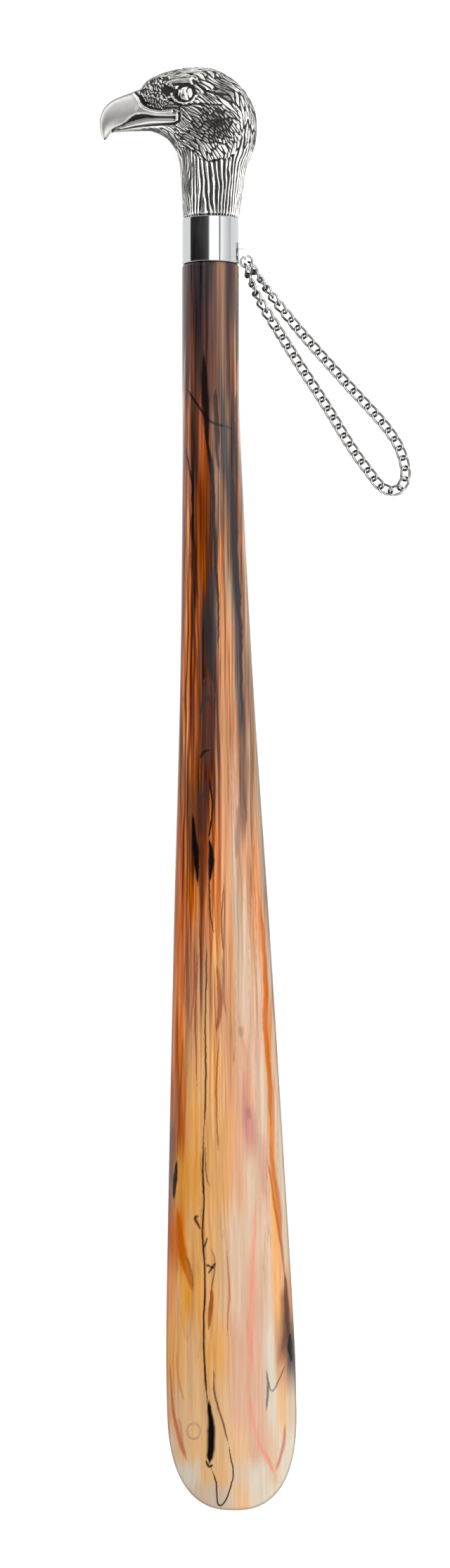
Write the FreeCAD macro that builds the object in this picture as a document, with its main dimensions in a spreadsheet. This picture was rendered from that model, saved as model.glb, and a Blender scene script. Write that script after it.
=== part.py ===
"""Long shoehorn: a cast eagle's head on a chromed collar, a round horn shaft that opens into a curved
blade, and a closed curb chain that hangs from a jump ring at the collar. Millimetres, +Z up.

The shoehorn lies on a table with the blade's hollow side down. +Y points from the blade to the head
and +X to the side that the chain lies on. Shapes are drawn about the shaft's axis, with Y counted
from half-way along the object, and each one is then placed so that the origin is the middle of the
footprint on the table.
"""
import math
import os

import FreeCAD
import Part
import Sketcher
from FreeCAD import Matrix, Placement, Rotation, Vector

doc = FreeCAD.newDocument("long_shoehorn")
sheet = doc.addObject("Spreadsheet::Sheet", "sizes")

SIZES = {
    "axis_height": 16.5,        # of the shaft's axis over the table
    "footprint_x": 16.3,        # from the middle of the footprint to the shaft's axis
    "footprint_y": 2.2,         # from the middle of the footprint to the point lengths are taken from
    "rod_end": 196.4,           # the shoulder that meets the collar
    "rod_straight": 150.0,      # the shaft is a plain round bar above this
    "shoulder_radius": 1.2,
    "blade_lean": 0.0207,       # sideways drift of the blade for each millimetre of length
    "blade_half_width": 24.6,
    "tip_start": -235.0,
    "tip_end": -274.5,
    "tip_power": 2.6,           # exponent of the superellipse that rounds the tip
    "collar_length": 17.2,
    "collar_radius": 10.7,
    "collar_wall": 1.95,
    "collar_edge": 0.5,
    "spigot_radius": 8.7,
    "spigot_length": 8.2,
    "spigot_gap": 0.5,          # between the shaft's spigot and the head's, inside the collar
    "stud_radius": 3.0,
    "stud_length": 36.0,
    "stud_middle": 207.0,
    "bore_radius": 3.05,
    "eye_radius": 3.4,
    "lug_thickness": 0.8,
    "lug_width": 4.4,
    "lug_stand_off": 1.9,
    "lug_bottom": 198.3,
    "lug_top": 204.6,
    "lug_bar": 0.6,             # the bar below the hole, which the ring turns about
    "lug_hole_radius": 1.2,
    "lug_corner": 1.2,
    "lug_foot": 2.2,            # length of the strap's foot, which is soldered to the collar
    "lug_bite": 0.2,            # how far the foot's block starts inside the collar, before it is trimmed
    "ring_radius": 2.2,
    "ring_wire": 0.8,
    "ring_tilt": 29.0,          # how far the ring hangs down towards the chain
    "ring_offset": 1.15,        # from the lug's bar to the ring's centre
    "hook_angle": 30.0,         # on the ring, from its lowest point to each end of the chain
    "hook_reach": 1.4,          # from the ring's wire to the middle of the link that hangs on it
    "link_half_length": 2.65,   # of the wire's centre line
    "link_half_width": 1.7,
    "link_wire": 0.85,
    "link_twist": 45.0,
    "link_power": 3.0,
    "link_corner_scale": 1.06,  # the corners stand outside the oval, so that the arcs touch it
    "link_arc_share": 0.47,     # share of each run that the arc at its end takes
    "first_roll": 120.0,        # how far the links next to the ring are turned about the chain
    "roll_length": 27.0,
    "descent_length": 38.0,
    "flat_link_height": 1.14,
}
LINKS = 54

for row, (name, value) in enumerate(SIZES.items(), start=1):
    sheet.set(f"A{row}", name)
    sheet.set(f"B{row}", str(value))
    sheet.setAlias(f"B{row}", name)
doc.recompute()


def size(name):
    return float(sheet.get(name))


ALONG = Rotation(Vector(1, 0, 0), -90)      # turns a piece drawn along +Z so that it runs along +Y
HOME = Vector(-size("footprint_x"), size("footprint_y"), size("axis_height"))


def feature(label, shape, base=HOME, rotation=Rotation()):
    """A sub-part whose shape is made by a formula rather than by sketches."""
    piece = doc.addObject("Part::Feature", label)
    piece.Label = label
    piece.Shape = shape
    piece.Placement = Placement(base, rotation)
    return piece


def origin_plane(body, role):
    return next(f for f in body.Origin.OriginFeatures if f.Role == role)


# ---------------------------------------------------------------- sections

def ring_of(points):
    """A smooth closed wire through the points."""
    curve = Part.BSplineCurve()
    curve.interpolate(Points=points, PeriodicFlag=True)
    return Part.Wire([curve.toShape()])


def blend(stations, y):
    """The value at y between stations (y, value) listed from the head down, eased through each one."""
    if y >= stations[0][0]:
        return stations[0][1]
    for before, (y0, v0), (y1, v1), after in zip(
        [stations[0]] + stations[:-2], stations[:-1], stations[1:], stations[2:] + [stations[-1]]
    ):
        if y >= y1:
            span = y1 - y0
            s = (y - y0) / span
            slope0 = (v1 - before[1]) / (y1 - before[0])
            slope1 = (after[1] - v0) / (after[0] - y0)
            return (
                v0 * (1 + 2 * s) * (1 - s) ** 2
                + v1 * s * s * (3 - 2 * s)
                + span * s * (1 - s) * ((1 - s) * slope0 - s * slope1)
            )
    return stations[-1][1]


# Each list runs from the shaft to the tip as (y, value).
HALF_WIDTH = [(150, 10.7), (95, 11.9), (30, 13.9), (-53, 17.85), (-137, 21.5), (-200, 24.0), (-228, 24.6)]
HALF_THICK = [
    (150, 10.7), (100, 10.3), (60, 8.6), (0, 5.6), (-60, 3.7), (-130, 2.6), (-200, 2.0), (-275, 1.5),
]
SAGITTA = [(150, 0.0), (100, 0.3), (60, 1.4), (0, 3.8), (-60, 6.2), (-130, 8.2), (-200, 9.0), (-275, 9.2)]
BLUNTNESS = [(150, 2.0), (60, 2.2), (0, 2.7), (-60, 3.3), (-130, 4.0), (-200, 5.0), (-275, 5.0)]
# Height of the section's two ends, where it is widest, over the table.
END_HEIGHT = [
    (150, 16.5), (100, 16.2), (60, 14.8), (0, 11.4), (-60, 7.6), (-130, 3.8), (-200, 1.2), (-275, 0.1),
]


# Where the loft has a section below the shoulder; the last one is past the tip, which is cut to its outline.
BLADE_STATIONS = [180, 165, 150, 125, 100, 75, 50, 25, 0, -30, -60, -95, -130, -165, -200, -228, -250, -275]


def blade_lean(y):
    return size("blade_lean") * max(0.0, size("rod_straight") - y)


def blade_section(y, steps=32):
    """A round bar at the shaft that turns into a crescent: an arc with a thickness on both sides."""
    half_width = blend(HALF_WIDTH, y)
    half_thick = blend(HALF_THICK, y)
    half_angle = 2 * math.atan(max(blend(SAGITTA, y), 0.001) / half_width)
    power = blend(BLUNTNESS, y)
    radius = half_width / math.sin(half_angle)
    points = []
    for i in range(steps):
        turn = 2 * math.pi * i / steps
        along = math.cos(turn)
        thick = half_thick * math.sqrt(max(0.0, 1 - abs(along) ** power)) * math.copysign(1, math.sin(turn))
        angle = half_angle * along
        x = (radius + thick) * math.sin(angle)
        z = (radius + thick) * math.cos(angle) - radius * math.cos(half_angle)
        points.append(Vector(blade_lean(y) + x, y, blend(END_HEIGHT, y) - size("axis_height") + z))
    return ring_of(points)


# ---------------------------------------------------------------- shaft and blade

def tip_outline():
    """The blade's outline in plan: straight sides past the shaft and a superellipse round the tip."""
    start = size("tip_start")
    length = start - size("tip_end")
    power = size("tip_power")
    middle = blade_lean(size("tip_end"))
    half = size("blade_half_width")
    floor = -2 * size("axis_height")
    clear = 0.4
    count = 24
    arc = []
    for i in range(count + 1):
        turn = math.pi * i / count
        across = math.copysign(abs(math.cos(turn)) ** (2 / power), math.cos(turn))
        down = math.sin(turn) ** (2 / power)
        arc.append(Vector(middle + half * across, start - length * down, floor))
    curve = Part.BSplineCurve()
    curve.interpolate(Points=arc)
    wide = 2 * half
    top = size("rod_end") + 5
    steps = [
        (-half - clear, start),
        (-wide, start),
        (-wide, top),
        (wide, top),
        (wide, start),
        (half + clear, start),
    ]
    corners = [arc[-1], *[Vector(middle + x, y, floor) for x, y in steps], arc[0]]
    edges = [curve.toShape()] + [Part.LineSegment(a, b).toShape() for a, b in zip(corners, corners[1:])]
    return Part.Face(Part.Wire(edges)).extrude(Vector(0, 0, -2 * floor))


def make_shaft_and_blade():
    """One lofted piece from the shoulder to the tip, with a spigot for the collar and a bore for the stud."""
    end = size("rod_end")
    along = Vector(0, 1, 0)
    horn = Part.makeLoft([blade_section(y) for y in [end, *BLADE_STATIONS]], True, False)
    shoulder = [edge for edge in horn.Edges if abs(edge.CenterOfMass.y - end) < 0.1]
    horn = horn.makeFillet(size("shoulder_radius"), shoulder).common(tip_outline())
    sunk = 1.0
    foot = Vector(0, end - sunk, 0)
    spigot = Part.makeCylinder(size("spigot_radius"), size("spigot_length") + sunk, foot, along)
    stud_foot = size("stud_middle") - size("stud_length") / 2
    bore = Part.makeCylinder(size("bore_radius"), size("stud_length"), Vector(0, stud_foot, 0), along)
    return feature("shaft_and_blade", horn.fuse(spigot).cut(bore).Solids[0])


# ---------------------------------------------------------------- eagle's head

# Pairs of points across the head, from the neck over the crown to the beak's tip, as
# (underside x, y), (back x, y) and half the thickness there.
HEAD_SECTIONS = [
    ((-10.4, 213.6), (10.4, 213.6), 10.4),
    ((-10.9, 222.5), (11.3, 222.5), 10.8),
    ((-12.0, 233.8), (13.1, 233.3), 13.0),
    ((-15.0, 241.8), (16.7, 243.0), 15.8),
    ((-19.0, 245.2), (16.4, 254.5), 16.5),
    ((-23.0, 246.6), (10.0, 265.2), 16.0),
    ((-26.3, 247.1), (-4.1, 270.1), 13.5),
    ((-29.4, 247.1), (-17.0, 268.0), 10.8),
    ((-32.6, 246.8), (-27.5, 262.4), 7.8),
    ((-36.0, 246.3), (-35.6, 258.8), 5.2),
    ((-38.3, 245.4), (-40.4, 254.0), 3.6),
    ((-39.2, 243.9), (-41.5, 247.4), 1.7),
]
EYES_AT = (-10.0, 261.2, 11.6)


def head_section(under, back, half_thick, steps=8):
    """An ellipse across the head, as two half curves that meet on the profile."""
    under = Vector(under[0], under[1], 0)
    back = Vector(back[0], back[1], 0)
    middle = (under + back) * 0.5
    across = (back - under) * 0.5
    halves = []
    for side in (1, -1):
        rise = Vector(0, 0, side * half_thick)
        turns = [math.pi * i / steps for i in range(steps + 1)]
        points = [middle + across * side * math.cos(t) + rise * math.sin(t) for t in turns]
        half = Part.BSplineCurve()
        half.interpolate(Points=points, InitialTangent=rise, FinalTangent=-rise)
        halves.append(half.toShape())
    return Part.Wire(halves)


def make_head():
    head = Part.makeLoft([head_section(*row) for row in HEAD_SECTIONS], True, False)
    neck = size("rod_end") + size("collar_length")
    depth = size("collar_length") - size("spigot_length") - size("spigot_gap")
    along = Vector(0, 1, 0)
    spigot = Part.makeCylinder(size("spigot_radius"), depth + 2, Vector(0, neck - depth, 0), along)
    x, y, z = EYES_AT
    eyes = [Part.makeSphere(size("eye_radius"), Vector(x, y, side * z)) for side in (1, -1)]
    stud_foot = size("stud_middle") - size("stud_length") / 2
    bore = Part.makeCylinder(size("bore_radius"), size("stud_length"), Vector(0, stud_foot, 0), along)
    head = head.fuse([spigot] + eyes).cut(bore)
    return feature("eagle_head", head.Solids[0])


# ---------------------------------------------------------------- collar and stud

def make_collar():
    """A short chromed tube whose two outer edges are rounded."""
    body = doc.addObject("PartDesign::Body", "collar")
    body.Label = "collar"
    outline = body.newObject("Sketcher::SketchObject", "collar_outline")
    outline.AttachmentSupport = [(origin_plane(body, "XY_Plane"), "")]
    outline.MapMode = "FlatFace"
    outline.addGeometry(Part.Circle(Vector(0, 0, 0), Vector(0, 0, 1), size("collar_radius")), False)
    outline.addGeometry(Part.Circle(Vector(0, 0, 0), Vector(0, 0, 1), size("spigot_radius")), False)
    for i, name in enumerate(("outer", "inner")):
        outline.addConstraint(Sketcher.Constraint("Coincident", i, 3, -1, 1))
        outline.addConstraint(Sketcher.Constraint("Radius", i, 5.0 + i))
        outline.renameConstraint(outline.ConstraintCount - 1, name)
    outline.setExpression("Constraints.outer", "sizes.collar_radius")
    outline.setExpression("Constraints.inner", "sizes.collar_radius - sizes.collar_wall")
    tube = body.newObject("PartDesign::Pad", "collar_tube")
    tube.Profile = outline
    tube.setExpression("Length", "sizes.collar_length")
    doc.recompute()
    rims = [
        f"Edge{i}" for i, edge in enumerate(tube.Shape.Edges, start=1)
        if hasattr(edge.Curve, "Radius") and edge.Curve.Radius > size("spigot_radius") + 1 and edge.isClosed()
    ]
    rounding = body.newObject("PartDesign::Fillet", "collar_rims")
    rounding.Base = (tube, rims)
    rounding.setExpression("Radius", "sizes.collar_edge")
    body.Placement = Placement(HOME + Vector(0, size("rod_end"), 0), ALONG)
    return body


def make_stud():
    """The threaded stud that holds the head, collar and shaft together, drawn at its thread's outer size."""
    stud = doc.addObject("Part::Cylinder", "threaded_stud")
    stud.Label = "threaded_stud"
    stud.setExpression("Radius", "sizes.stud_radius")
    stud.setExpression("Height", "sizes.stud_length")
    stud.Placement = Placement(HOME + Vector(0, size("stud_middle") - size("stud_length") / 2, 0), ALONG)
    return stud


# ---------------------------------------------------------------- lug and ring

def lug_bar_place():
    """The middle of the lug's bar, which is the ring's hinge."""
    x = size("collar_radius") + size("lug_stand_off") + size("lug_thickness") / 2
    return Vector(x, size("lug_bottom") + size("lug_bar") / 2, 0)


def make_lug():
    """A small strap that stands off the collar's side, soldered at its top, with a hole for the ring."""
    thick = size("lug_thickness")
    inner = size("collar_radius") + size("lug_stand_off")
    height = size("lug_top") - size("lug_bottom")
    half = size("lug_width") / 2
    strap = Part.makeBox(thick, height, 2 * half, Vector(inner, size("lug_bottom"), -half))
    bite = size("lug_bite")
    foot_at = Vector(size("collar_radius") - bite, size("lug_top") - size("lug_foot"), -half)
    foot = Part.makeBox(size("lug_stand_off") + 2 * bite, size("lug_foot"), 2 * half, foot_at)
    hole_at = Vector(inner - 1, size("lug_bottom") + size("lug_bar") + size("lug_hole_radius"), 0)
    hole = Part.makeCylinder(size("lug_hole_radius"), thick + 2, hole_at, Vector(1, 0, 0))
    collar_foot = Vector(0, size("rod_end"), 0)
    tube = Part.makeCylinder(size("collar_radius"), size("collar_length"), collar_foot, Vector(0, 1, 0))
    middle = size("lug_bottom") + height / 2
    ends = [e for e in strap.Edges if abs(e.tangentAt(0).x) > 0.9 and e.CenterOfMass.y < middle]
    strap = strap.makeFillet(size("lug_corner"), ends)
    return feature("chain_lug", strap.fuse(foot).cut(hole).cut(tube).Solids[0])


CHAIN_HEADING = Vector(0.47, -0.88, 0).normalize()      # the way the chain leaves the ring


def ring_frame():
    """The ring's centre, the way it hangs and the level direction across it."""
    tilt = math.radians(size("ring_tilt"))
    down = CHAIN_HEADING * math.cos(tilt) - Vector(0, 0, math.sin(tilt))
    across = Vector(-CHAIN_HEADING.y, CHAIN_HEADING.x, 0)
    return lug_bar_place() + down * size("ring_offset"), down, across


def make_ring():
    centre, down, across = ring_frame()
    ring = doc.addObject("Part::Torus", "jump_ring")
    ring.Label = "jump_ring"
    ring.setExpression("Radius1", "sizes.ring_radius")
    ring.setExpression("Radius2", "sizes.ring_wire / 2")
    ring.Placement = Placement(HOME + centre, Rotation(Vector(0, 0, 1), down.cross(across)))
    return ring


# ---------------------------------------------------------------- chain

# The chain's way over the table, from the ring down one side of the loop and back up the other.
CHAIN_ROUTE = [
    (20.6, 189.3), (28.3, 180.0), (36.1, 171.0), (47.0, 158.8), (57.8, 147.0), (65.4, 138.6), (70.9, 130.8),
    (73.6, 123.6), (73.9, 117.6), (71.3, 113.3), (66.6, 113.4), (61.6, 118.2), (55.4, 126.6), (44.8, 143.7),
    (33.7, 160.9), (25.3, 174.0), (18.5, 184.4),
]
# The way each end of the chain leaves the ring, seen from above.
END_HEADINGS = [Vector(0.52, -0.853, 0).normalize(), Vector(0.414, -0.91, 0).normalize()]
END_SLOPE = 33.0


def chain_ends():
    """The middles of the first and the last link, which hang side by side on the ring."""
    centre, down, across = ring_frame()
    turn = math.radians(size("hook_angle"))
    slope = math.radians(END_SLOPE)
    ends = []
    for side, heading in zip((1, -1), END_HEADINGS):
        hook = centre + (down * math.cos(turn) + across * side * math.sin(turn)) * size("ring_radius")
        ends.append(hook + (heading * math.cos(slope) - Vector(0, 0, math.sin(slope))) * size("hook_reach"))
    return ends


def chain_path(steps=1500):
    """Closely spaced points along the chain's centre line, which comes down from the ring to the table."""
    first, last = chain_ends()
    plan = Part.BSplineCurve()
    plan.interpolate(Points=[Vector(x, y, 0) for x, y in [first[:2], *CHAIN_ROUTE, last[:2]]])
    flat = plan.discretize(Number=steps)
    step = plan.length() / (steps - 1)
    low = size("flat_link_height") - size("axis_height")
    drop = first.z - low
    path = []
    for i, point in enumerate(flat):
        from_ring = step * min(i, steps - 1 - i)
        left = max(0.0, 1 - from_ring / size("descent_length"))
        path.append(Vector(point.x, point.y, low + drop * left * left))
    return path


def evenly(path, count):
    """Points at equal distances along the path, its two ends included, and each one's distance."""
    ways = [0.0]
    for a, b in zip(path, path[1:]):
        ways.append(ways[-1] + (b - a).Length)
    found = []
    j = 0
    for i in range(count):
        want = ways[-1] * i / (count - 1)
        while j < len(ways) - 2 and ways[j + 1] < want:
            j += 1
        share = (want - ways[j]) / (ways[j + 1] - ways[j])
        found.append((path[j] + (path[j + 1] - path[j]) * share, want, ways[-1] - want))
    return found


def link_path():
    """The wire's centre line in one curb link: an oval with a twist, as short runs and tangent arcs."""
    twist = math.radians(size("link_twist"))
    half_length = size("link_half_length")
    half_width = size("link_half_width")
    corners = []
    for i in range(8):
        turn = math.pi * (2 * i + 1) / 8
        x = half_length * math.copysign(abs(math.cos(turn)) ** (2 / size("link_power")), math.cos(turn))
        y = half_width * math.copysign(abs(math.sin(turn)) ** (2 / size("link_power")), math.sin(turn))
        angle = twist * x / half_length
        corners.append(Vector(x, y * math.cos(angle), y * math.sin(angle)) * size("link_corner_scale"))
    edges = []
    ends = []
    for before, corner, after in zip(corners[-1:] + corners[:-1], corners, corners[1:] + corners[:1]):
        run_in = corner - before
        run_out = after - corner
        reach = size("link_arc_share") * min(run_in.Length, run_out.Length)
        way_in = run_in.normalize()
        way_out = run_out.normalize()
        half_turn = way_in.getAngle(way_out) / 2
        radius = reach / math.tan(half_turn)
        inward = (way_out - way_in).normalize()
        middle = corner + inward * (radius / math.cos(half_turn) - radius)
        start = corner - way_in * reach
        end = corner + way_out * reach
        edges.append(Part.Arc(start, middle, end).toShape())
        ends.append((start, end))
    runs = [Part.LineSegment(a[1], b[0]).toShape() for a, b in zip(ends, ends[1:] + ends[:1])]
    return Part.Wire([edge for pair in zip(edges, runs) for edge in pair])


def link_shape():
    """Round wire along the link's path: a piece for each arc and run, joined."""
    lengths = []
    for edge in link_path().Edges:
        first, last = edge.ParameterRange
        start = edge.valueAt(first)
        section = Part.Face(Part.Wire([Part.makeCircle(size("link_wire") / 2, start, edge.tangentAt(first))]))
        if isinstance(edge.Curve, Part.Circle):
            lengths.append(section.revolve(edge.Curve.Center, edge.Curve.Axis, math.degrees(last - first)))
        else:
            lengths.append(section.extrude(edge.valueAt(last) - start))
    return lengths[0].fuse(lengths[1:]).Solids[0]


def link_places():
    """Where each link lies and how it is turned: along the path, flat on the table, on edge by the ring."""
    path = evenly(chain_path(), LINKS)
    places = []
    for i, (point, from_start, from_end) in enumerate(path):
        before = path[max(i - 1, 0)][0]
        after = path[min(i + 1, LINKS - 1)][0]
        along = (after - before).normalize()
        across = Vector(0, 0, 1).cross(along).normalize()
        up = along.cross(across)
        left = max(0.0, 1 - from_start / size("roll_length"))
        right = max(0.0, 1 - from_end / size("roll_length"))
        roll = size("first_roll") * (left - right)
        frame = Matrix(
            along.x, across.x, up.x, 0, along.y, across.y, up.y, 0, along.z, across.z, up.z, 0, 0, 0, 0, 1
        )
        turn = Rotation(Placement(frame).Rotation * Rotation(Vector(1, 0, 0), roll))
        places.append(Placement(HOME + point, turn))
    return places


def make_links():
    shape = link_shape()
    links = []
    for i, place in enumerate(link_places(), start=1):
        links.append(feature(f"chain_link_{i:02d}", shape.copy(), place.Base, place.Rotation))
    return links


# ---------------------------------------------------------------- build, check and write

pieces = [make_head(), make_collar(), make_shaft_and_blade(), make_stud(), make_lug(), make_ring()]
pieces += make_links()
doc.recompute()

for item in doc.Objects:
    if {"Invalid", "Error"} & set(item.State):
        raise RuntimeError(f"{item.Name} failed: {item.State}")
for piece in pieces:
    if piece.Shape.isNull() or not piece.Shape.isValid() or len(piece.Shape.Solids) != 1:
        raise RuntimeError(f"{piece.Label} has no valid solid")

os.makedirs("parts", exist_ok=True)
for piece in pieces:
    piece.Shape.exportStep(f"parts/{piece.Label}.step")

box = FreeCAD.BoundBox()
for piece in pieces:
    box.add(piece.Shape.BoundBox)
print("box", [round(v, 2) for v in (box.XMin, box.YMin, box.ZMin, box.XMax, box.YMax, box.ZMax)])
print("ring hinge", tuple(round(v, 3) for v in HOME + lug_bar_place()))
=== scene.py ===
"""Long shoehorn: the silver eagle's head, the horn blade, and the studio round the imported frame."""

import math
from types import SimpleNamespace

import bpy
import numpy as np
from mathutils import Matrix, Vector


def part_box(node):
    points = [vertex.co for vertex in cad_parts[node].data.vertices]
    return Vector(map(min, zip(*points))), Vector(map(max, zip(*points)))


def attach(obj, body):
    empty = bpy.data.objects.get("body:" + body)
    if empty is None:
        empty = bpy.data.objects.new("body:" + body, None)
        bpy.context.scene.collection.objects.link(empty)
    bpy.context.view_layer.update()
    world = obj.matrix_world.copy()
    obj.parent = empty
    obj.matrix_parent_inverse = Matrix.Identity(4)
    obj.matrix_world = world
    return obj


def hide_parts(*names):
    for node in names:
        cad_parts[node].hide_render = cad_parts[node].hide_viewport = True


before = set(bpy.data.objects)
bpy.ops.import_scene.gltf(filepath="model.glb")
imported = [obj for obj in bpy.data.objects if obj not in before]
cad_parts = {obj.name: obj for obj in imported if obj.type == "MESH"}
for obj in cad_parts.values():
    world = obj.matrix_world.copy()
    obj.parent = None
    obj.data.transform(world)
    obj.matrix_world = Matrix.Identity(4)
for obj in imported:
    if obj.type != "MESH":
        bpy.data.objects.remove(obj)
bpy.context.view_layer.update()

# Shapes are given in millimetres, with x and z from the shaft's axis and y along it. The collar runs from
# ROD_END to COLLAR_TOP, and the axis is AXIS_HEIGHT above the table.
MM = 0.001
ROD_END = 196.4
COLLAR_TOP = 213.6
AXIS_HEIGHT = 16.5
collar_low, collar_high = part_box("collar")
AXIS = Vector(((collar_low.x + collar_high.x) / 2, collar_low.y - ROD_END * MM,
               (collar_low.z + collar_high.z) / 2))
CAMERA_DISTANCE = 1300.0


# -------- noise and interpolation

def rise(low, high, value):
    """0 at low and 1 at high, with a smooth rise between them."""
    t = np.clip((value - low) / (high - low), 0.0, 1.0)
    return t * t * (3.0 - 2.0 * t)


def scatter(a, b, seed):
    """A repeatable number from 0 to 1 for each pair of whole numbers."""
    n = a.astype(np.int64) * 374761393 + b.astype(np.int64) * 668265263 + seed * 974634777
    n = n & 0xFFFFFFFF
    n = ((n ^ (n >> 13)) * 1274126177) & 0xFFFFFFFF
    n = n ^ (n >> 16)
    return (n & 0xFFFFFF) / float(0xFFFFFF)


def noise(u, v, seed, wrap=1 << 20):
    """Smooth noise from -1 to 1; u repeats after wrap."""
    iu = np.floor(u)
    iv = np.floor(v)
    fu = rise(0, 1, u - iu)
    fv = rise(0, 1, v - iv)
    rows = []
    for dv in (0, 1):
        left = scatter(np.mod(iu, wrap), iv + dv, seed)
        right = scatter(np.mod(iu + 1, wrap), iv + dv, seed)
        rows.append(left + (right - left) * fu)
    return 2 * (rows[0] + (rows[1] - rows[0]) * fv) - 1


def cell_edges(u, v, seed, wrap=1 << 20):
    """Distance from each point to its cell's border, for cells about one unit apart; u repeats after wrap."""
    iu = np.floor(u)
    iv = np.floor(v)
    first = np.full(u.shape, 9.0)
    second = np.full(u.shape, 9.0)
    for du in (-1, 0, 1):
        for dv in (-1, 0, 1):
            cu = np.mod(iu + du, wrap)
            px = iu + du + scatter(cu, iv + dv, seed)
            py = iv + dv + scatter(cu, iv + dv, seed + 1)
            d = np.hypot(px - u, py - v)
            second = np.where(d < first, first, np.minimum(second, d))
            first = np.minimum(first, d)
    return second - first


def lengths_along(points):
    """How far each point of a path is from its start."""
    return np.concatenate([[0], np.cumsum(np.linalg.norm(np.diff(points, axis=0), axis=1))])


def through(rows, count):
    """count rows evenly spaced along a smooth curve through the given rows."""
    rows = np.array(rows, float)
    ends = np.vstack([2 * rows[0] - rows[1], rows, 2 * rows[-1] - rows[-2]])
    parts = []
    t = np.linspace(0, 1, 41)[:-1, None]
    for i in range(len(rows) - 1):
        a, b, c, d = ends[i:i + 4]
        parts.append(0.5 * (2 * b + (c - a) * t + (2 * a - 5 * b + 4 * c - d) * t ** 2
                            + (3 * b - a - 3 * c + d) * t ** 3))
    dense = np.vstack(parts + [rows[-1:]])
    along = lengths_along(dense[:, :4])
    at = np.linspace(0, along[-1], count)
    return np.column_stack([np.interp(at, along, dense[:, k]) for k in range(dense.shape[1])])


def distance_to(x, y, path):
    """Distance from each point to a polyline."""
    best = np.full(x.shape, 1e9)
    for (x0, y0), (x1, y1) in zip(path, path[1:]):
        dx = x1 - x0
        dy = y1 - y0
        t = np.clip(((x - x0) * dx + (y - y0) * dy) / (dx * dx + dy * dy), 0, 1)
        best = np.minimum(best, (x - x0 - t * dx) ** 2 + (y - y0 - t * dy) ** 2)
    return np.sqrt(best)


def inside(x, y, outline):
    """1 inside a closed outline and 0 outside it."""
    odd = np.zeros(x.shape, bool)
    for (x0, y0), (x1, y1) in zip(outline, outline[1:] + outline[:1]):
        if y0 == y1:
            continue
        crosses = (y0 > y) != (y1 > y)
        odd ^= crosses & (x < x0 + (y - y0) * (x1 - x0) / (y1 - y0))
    return odd.astype(float)


def blur(h, steps):
    """Box blur on a grid whose columns wrap round."""
    for axis in (1, 0):
        total = h.copy()
        for k in range(1, steps + 1):
            if axis == 1:
                total += np.roll(h, k, 1) + np.roll(h, -k, 1)
            else:
                above = np.vstack([np.repeat(h[:1], k, 0), h[:-k]])
                below = np.vstack([h[k:], np.repeat(h[-1:], k, 0)])
                total += above + below
        h = total / (2 * steps + 1)
    return h


# -------- meshes

def grid_normals(points):
    """Unit normals of a grid whose columns wrap round."""
    down = np.gradient(points, axis=0)
    across = np.roll(points, -1, 1) - np.roll(points, 1, 1)
    n = np.cross(down, across)
    return n / np.maximum(np.linalg.norm(n, axis=2, keepdims=True), 1e-9)


def tube_mesh(name, points):
    """A closed mesh from rings of points, in millimetres as above, with a fan of faces at each end."""
    rows, cols = points.shape[:2]
    verts = points.reshape(-1, 3)
    verts = np.vstack([verts, points[0].mean(0), points[-1].mean(0)])
    verts = verts * MM + np.array(AXIS)
    i, j = np.meshgrid(np.arange(rows - 1), np.arange(cols), indexing="ij")
    k = (j + 1) % cols
    quads = np.stack([i * cols + j, i * cols + k, (i + 1) * cols + k, (i + 1) * cols + j], -1).reshape(-1, 4)
    ring = np.arange(cols)
    after = (ring + 1) % cols
    first = np.stack([after, ring, np.full(cols, rows * cols)], -1)
    last = np.stack([(rows - 1) * cols + ring, (rows - 1) * cols + after, np.full(cols, rows * cols + 1)], -1)
    mesh = bpy.data.meshes.new(name)
    mesh.from_pydata(verts.tolist(), [], quads.tolist() + first.tolist() + last.tolist())
    mesh.polygons.foreach_set("use_smooth", np.ones(len(mesh.polygons), bool))
    obj = bpy.data.objects.new(name, mesh)
    bpy.context.scene.collection.objects.link(obj)
    return obj


def paint_value(obj, name, values):
    """One number for each point of a tube mesh's grid, as an attribute."""
    attribute = obj.data.attributes.new(name, "FLOAT", "POINT")
    flat = np.concatenate([values.ravel(), [values[0].mean(), values[-1].mean()]])
    attribute.data.foreach_set("value", flat.astype(np.float32))


def paint_colour(obj, name, colours):
    """One linear colour for each point of a tube mesh's grid, as a colour attribute."""
    attribute = obj.data.attributes.new(name, "FLOAT_COLOR", "POINT")
    flat = np.vstack([colours.reshape(-1, 3), colours[0].mean(0), colours[-1].mean(0)])
    flat = np.column_stack([flat, np.ones(len(flat))])
    attribute.data.foreach_set("color", flat.astype(np.float32).ravel())


def hand_over(obj, node, material):
    """Gives a piece its material and puts it in the place of a CAD node on the handle."""
    obj.data.materials.append(material)
    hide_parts(node)
    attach(obj, "handle")


# -------- materials

NOISE_ROUGHNESS = 0.55
EVEN_RIM = 0.5


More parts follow.
